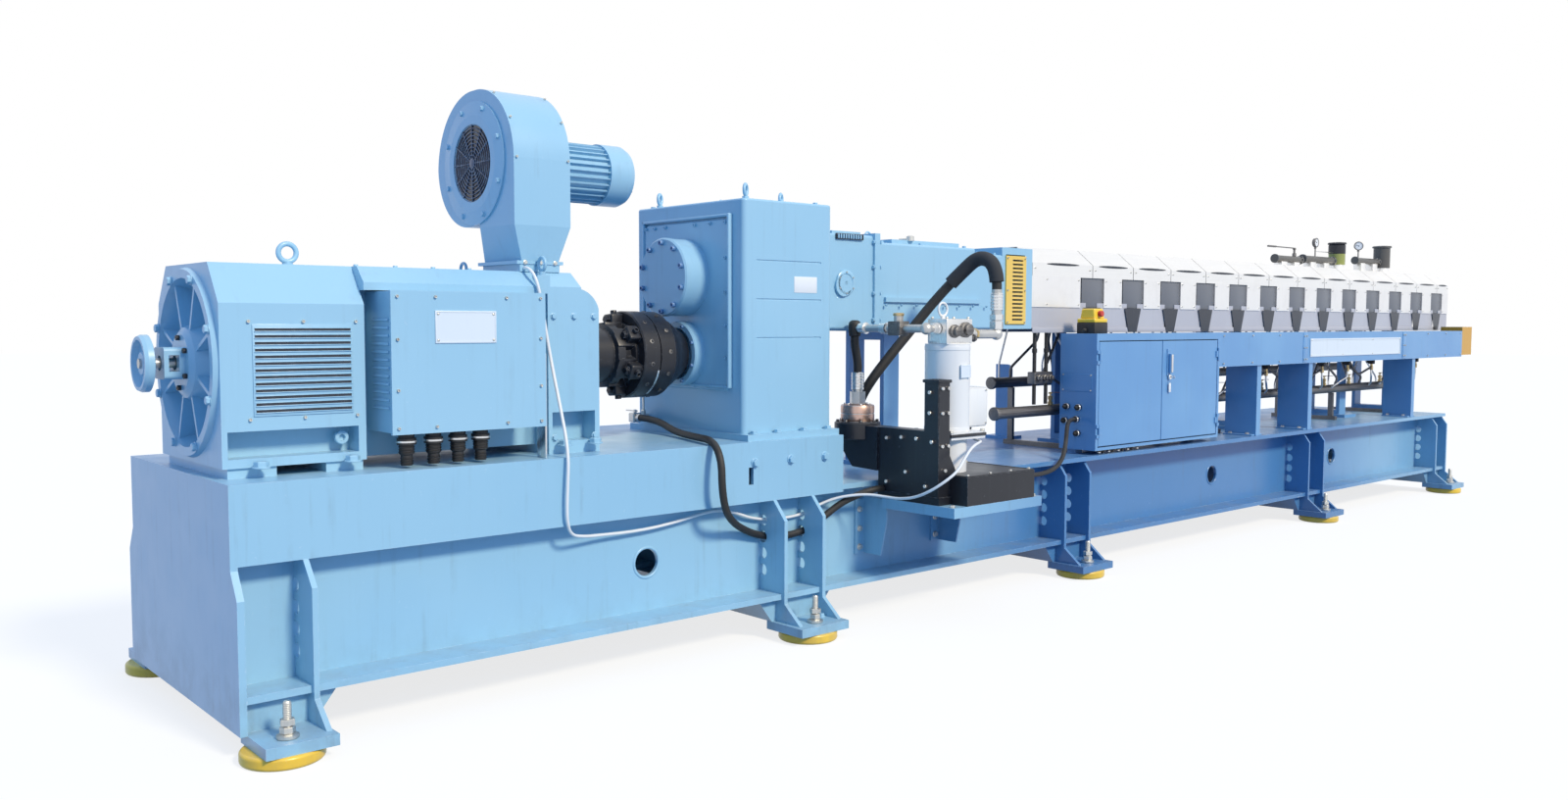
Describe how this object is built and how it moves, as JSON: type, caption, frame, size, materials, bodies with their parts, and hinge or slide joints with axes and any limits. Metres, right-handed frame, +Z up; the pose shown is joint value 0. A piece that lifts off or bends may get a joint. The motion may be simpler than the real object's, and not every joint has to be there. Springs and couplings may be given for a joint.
{
  "type": "twin-screw plastic extruder",
  "caption": "Long floor-standing twin-screw plastic extruder: motor with blower, coupling, gearbox, oil unit and a covered barrel above a welded base on round pads.",
  "frame": {"origin": "on the floor, under the middle of the whole machine's outline", "axes": "+X along the machine from the motor to the die end, +Z up, -Y towards the operator's side"},
  "size_m": [11.34, 2.0119, 2.4805],
  "materials": {
    "blue_paint": "semi-gloss machine enamel",
    "yellow_paint": "semi-gloss enamel",
    "black_paint": "satin",
    "steel": "machined",
    "dark_steel": "dark, oiled",
    "stainless": "brushed sheet",
    "grey_sheet": "matt grey sheet",
    "black_plastic": "matt",
    "yellow_plastic": "gloss",
    "white_plastic": "matt",
    "amber_sheet": "translucent-looking sheet",
    "black_rubber": "matt"
  },
  "bodies": {
    "machine": {"base_rails": "blue_paint", "base_stiffeners": "blue_paint", "base_drive_box": "blue_paint", "base_deck": "blue_paint", "base_feet": "blue_paint", "levelling_pads": "yellow_paint", "motor_frame": "blue_paint", "motor_end_shield": "blue_paint", "louvre_panels": "blue_paint", "terminal_box": "blue_paint", "cable_glands": "black_plastic", "lifting_rings": "blue_paint", "blower_scroll": "blue_paint", "blower_motor": "blue_paint", "gearbox_housing": "blue_paint", "gearbox_covers": "blue_paint", "distribution_housing": "blue_paint", "lantern_frame": "blue_paint", "lantern_grille": "yellow_paint", "barrel_core": "dark_steel", "barrel_hoods": "stainless", "barrel_panels": "stainless", "barrel_side_plates": "grey_sheet", "barrel_supports": "blue_paint", "bridge_cover": "blue_paint", "cabinet_box": "blue_paint", "stop_box": "yellow_plastic", "end_guard": "amber_sheet", "vacuum_unit": "stainless", "water_manifold": "dark_steel", "oil_shelf": "blue_paint", "oil_pump_block": "black_paint", "oil_fittings": "steel", "oil_motor": "grey_sheet", "drain_hose": "black_rubber", "pressure_hose": "black_rubber", "suction_hose": "black_rubber", "blower_cable": "white_plastic", "cabinet_cable": "black_rubber"},
    "drive_shaft": {"motor_shaft": "steel", "hand_disc": "black_paint", "coupling": "black_paint"},
    "door_left": {"cabinet_door_left": "blue_paint"},
    "door_right": {"cabinet_door_right": "blue_paint"}
  },
  "joints": [
    {"name": "drive_shaft_spin", "type": "hinge", "parent": "machine", "child": "drive_shaft", "pos_m": [-5.031, 0.044, 1.343], "axis": [1, 0, 0], "continuous": true},
    {"name": "door_left_hinge", "type": "hinge", "parent": "machine", "child": "door_left", "pos_m": [-0.504, -0.528, 1.065], "axis": [0, 0, 1], "range_deg": [-105, 0]},
    {"name": "door_right_hinge", "type": "hinge", "parent": "machine", "child": "door_right", "pos_m": [0.892, -0.528, 1.065], "axis": [0, 0, 1], "range_deg": [0, 105]}
  ]
}
